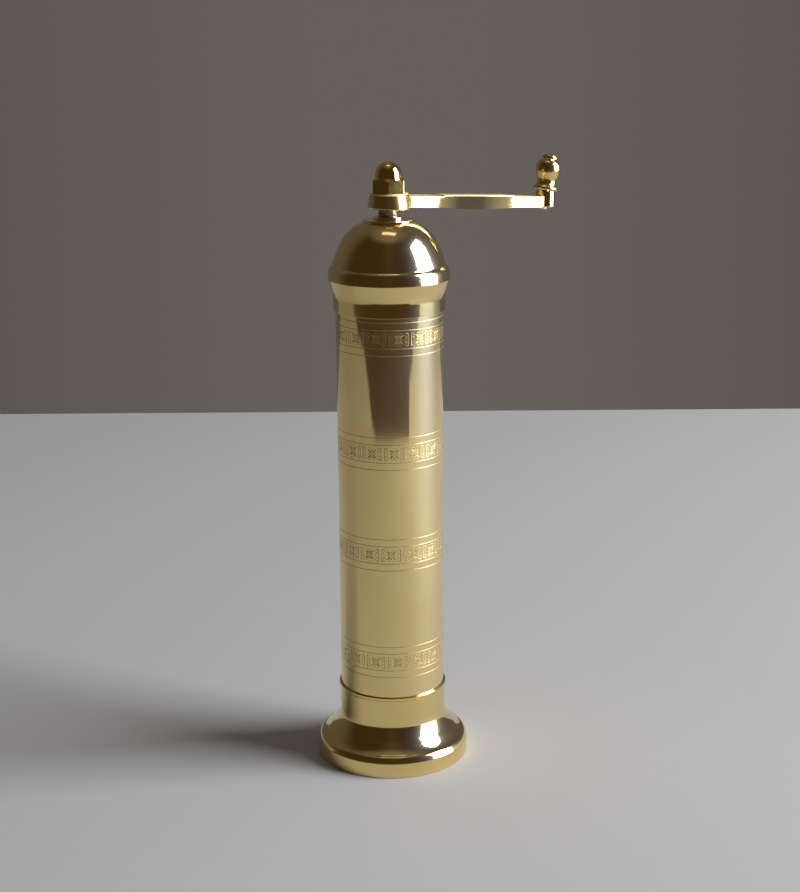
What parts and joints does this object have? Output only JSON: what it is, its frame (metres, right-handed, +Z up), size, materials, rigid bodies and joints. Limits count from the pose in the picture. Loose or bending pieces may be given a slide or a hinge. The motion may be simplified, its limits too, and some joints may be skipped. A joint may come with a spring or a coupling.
{
  "type": "salt mill",
  "caption": "Brass crank salt mill: tall engraved tube on a flared foot, domed lid, top crank with turned knob and acorn nut, and an adjustable conical burr grinder in the foot.",
  "frame": {"origin": "on the tube's axis, in the plane of the foot's resting face on the table", "axes": "+Z up along the tube and the shaft; -Y towards the viewer of the picture; the crank's arm points 35 degrees from +X towards +Y at rest"},
  "size_m": [0.0911, 0.0735, 0.2188],
  "materials": {
    "polished_brass": "polished",
    "dull_brass": "satin",
    "steel": "satin",
    "burr_steel": "matt stainless",
    "spring_steel": "drawn wire"
  },
  "bodies": {
    "casing": {"base_foot": "polished_brass", "body_tube": "polished_brass", "outer_burr": "burr_steel", "lower_bridge": "steel", "lower_bridge_screw_1": "steel", "lower_bridge_screw_2": "steel", "spring_bridge": "steel", "spring_bridge_screw_1": "steel", "spring_bridge_screw_2": "steel", "bridge_bush": "dull_brass", "burr_spring": "spring_steel"},
    "thrust": {"thrust_pad": "steel"},
    "adjuster": {"adjusting_screw": "dull_brass"},
    "rotor": {"drive_shaft": "steel", "inner_burr": "burr_steel", "burr_nut": "steel", "spring_seat": "steel"},
    "crank": {"crank_arm": "polished_brass", "knob_pin": "polished_brass"},
    "knob": {"crank_knob": "polished_brass"},
    "nut": {"acorn_nut": "polished_brass"},
    "lid": {"lid_dome": "polished_brass", "lid_bush": "polished_brass"}
  },
  "joints": [
    {"name": "grind_adjust", "type": "slide", "parent": "casing", "child": "thrust", "axis": [0, 0, 1], "range_m": [0, 0.001], "deforming": ["burr_spring"]},
    {"name": "adjuster_turn", "type": "hinge", "parent": "thrust", "child": "adjuster", "pos_m": [0, 0, 0.0052], "axis": [0, 0, 1], "range_deg": [0, 360]},
    {"name": "crank_turn", "type": "hinge", "parent": "thrust", "child": "rotor", "pos_m": [0, 0, 0.0137], "axis": [0, 0, 1], "continuous": true},
    {"name": "crank_lift", "type": "slide", "parent": "rotor", "child": "crank", "axis": [0, 0, 1], "range_m": [0, 0.06]},
    {"name": "knob_spin", "type": "hinge", "parent": "crank", "child": "knob", "pos_m": [0.05775, 0.04044, 0.20365], "axis": [0.1281, 0.0897, 0.9877], "continuous": true},
    {"name": "nut_turn", "type": "hinge", "parent": "crank", "child": "nut", "pos_m": [0, 0, 0.2079], "axis": [0, 0, 1], "range_deg": [0, 3420]},
    {"name": "lid_lift", "type": "slide", "parent": "casing", "child": "lid", "axis": [0, 0, 1], "range_m": [0, 0.06]}
  ],
  "couplings": [
    {"joint": "adjuster_turn", "follows": "grind_adjust", "rad_per_m": 6283.2},
    {"joint": "lid_lift", "follows": "crank_lift", "ratio": 1}
  ]
}
